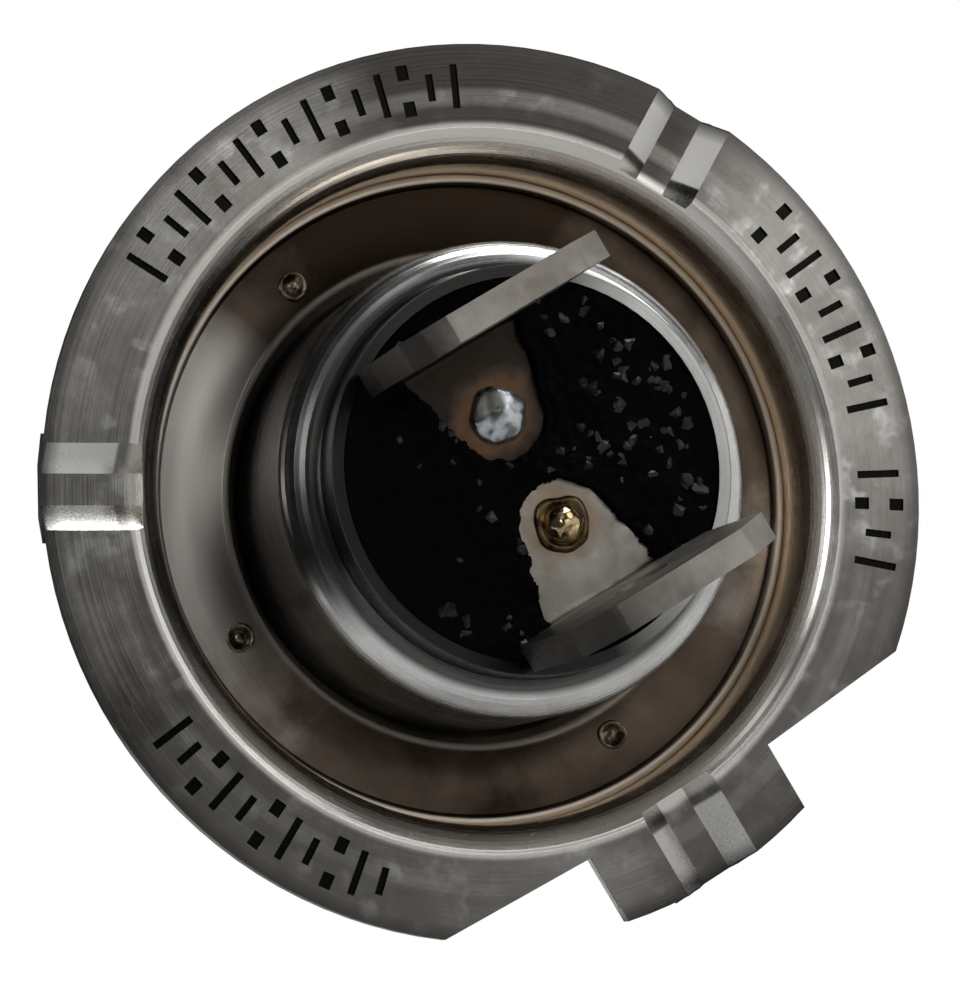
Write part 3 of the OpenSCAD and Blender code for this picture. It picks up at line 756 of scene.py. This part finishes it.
def white_for_camera(tree, kind, shader, target):
    """Shows plain white to the camera, also through the quartz, and the given shader to every other ray."""
    path = tree.nodes.new("ShaderNodeLightPath")
    white = tree.nodes.new(kind)
    white.inputs["Color"].default_value = (1, 1, 1, 1)
    white.inputs["Strength"].default_value = 1.0
    mixer = tree.nodes.new("ShaderNodeMixShader")
    seen = tree.nodes.new("ShaderNodeMath")
    seen.operation = "MAXIMUM"
    tree.links.new(path.outputs["Is Camera Ray"], seen.inputs[0])
    tree.links.new(path.outputs["Is Transmission Ray"], seen.inputs[1])
    tree.links.new(seen.outputs[0], mixer.inputs[0])
    tree.links.new(shader, mixer.inputs[1])
    tree.links.new(white.outputs[0], mixer.inputs[2])
    tree.links.new(mixer.outputs[0], target)


def make_world(grey):
    world = bpy.data.worlds.new("studio")
    bpy.context.scene.world = world
    world.use_nodes = True
    tree = world.node_tree
    background = tree.nodes["Background"]
    background.inputs["Color"].default_value = (1, 1, 1, 1)
    background.inputs["Strength"].default_value = grey
    target = tree.nodes["World Output"].inputs["Surface"]
    white_for_camera(tree, "ShaderNodeBackground", background.outputs[0], target)


def make_floor():
    bpy.ops.mesh.primitive_plane_add(size=3, location=(0, 0, ring_lo.z * MM))
    floor = bpy.context.object
    floor.name = "studio_floor"
    s = Shader("floor_paint", Base_Color=(0.75, 0.75, 0.75, 1), Roughness=0.9)
    target = s.tree.nodes["Material Output"].inputs["Surface"]
    white_for_camera(s.tree, "ShaderNodeEmission", s.bsdf.outputs[0], target)
    floor.data.materials.append(s.material)


def soft_light(name, direction, distance_mm, size_mm, watts, aim=Vector((0, 0, 0))):
    data = bpy.data.lights.new(name, "AREA")
    data.shape = "DISK"
    data.size = size_mm * MM
    data.energy = watts
    light = bpy.data.objects.new(name, data)
    light.location = (aim + direction.normalized() * distance_mm) * MM
    light.rotation_mode = "QUATERNION"
    light.rotation_quaternion = direction.to_track_quat("Z", "Y")
    bpy.context.scene.collection.objects.link(light)
    return light


STUDIO_LIGHTS = (
    # name, tilt away from the camera and turn about the view axis from the right, in degrees, size in mm, watts
    ("below_left", 98, 225, 100, 0.06),
    ("below", 98, 270, 100, 0.06),
    ("below_right", 98, 315, 100, 0.055),
    ("above", 94, 78, 90, 0.16),
    ("upper_right", 70, 45, 90, 0.035),
    ("right", 70, 0, 90, 0.03),
    ("lower_right", 70, 315, 90, 0.04),
    ("lower_left", 65, 225, 80, 0.03),
    ("upper", 45, 90, 70, 0.01),
    ("lower", 55, 270, 70, 0.03),
    ("front_lower_right", 45, 302, 60, 0.035),
    ("front_lower_left", 45, 232, 60, 0.011),
    ("front_right", 42, 30, 45, 0.009),
    ("front_upper_right", 33, 42, 30, 0.0035),
    ("front_upper_left", 25, 130, 50, 0.035),
    ("front_lower", 25, 250, 50, 0.006))


def light_rear(right, up, back):
    """Soft lights around the camera, for the metal base."""
    for name, tilt, turn, size, watts in STUDIO_LIGHTS:
        tilt, turn = math.radians(tilt), math.radians(turn)
        side = math.cos(turn) * right + math.sin(turn) * up
        soft_light(name, math.cos(tilt) * back + math.sin(tilt) * side, 180, size, watts)


def light_glass():
    """Two soft lights in front of the ring, for the glass."""
    middle = Vector((0, filament_lo.y, 0))
    soft_light("glass_left", Vector((-0.8, 0.45, 0.6)), 200, 140, 0.12, middle)
    soft_light("glass_right", Vector((0.9, 0.5, 0.35)), 200, 140, 0.08, middle)


dress_nodes()
make_cement()
make_chips()
make_beads()
make_dimples()
make_glass()
make_coating()
view_right, view_up, view_back = make_camera()
make_world(0.038)
make_floor()
light_rear(view_right, view_up, view_back)
light_glass()
bpy.context.scene.view_settings.view_transform = "Standard"
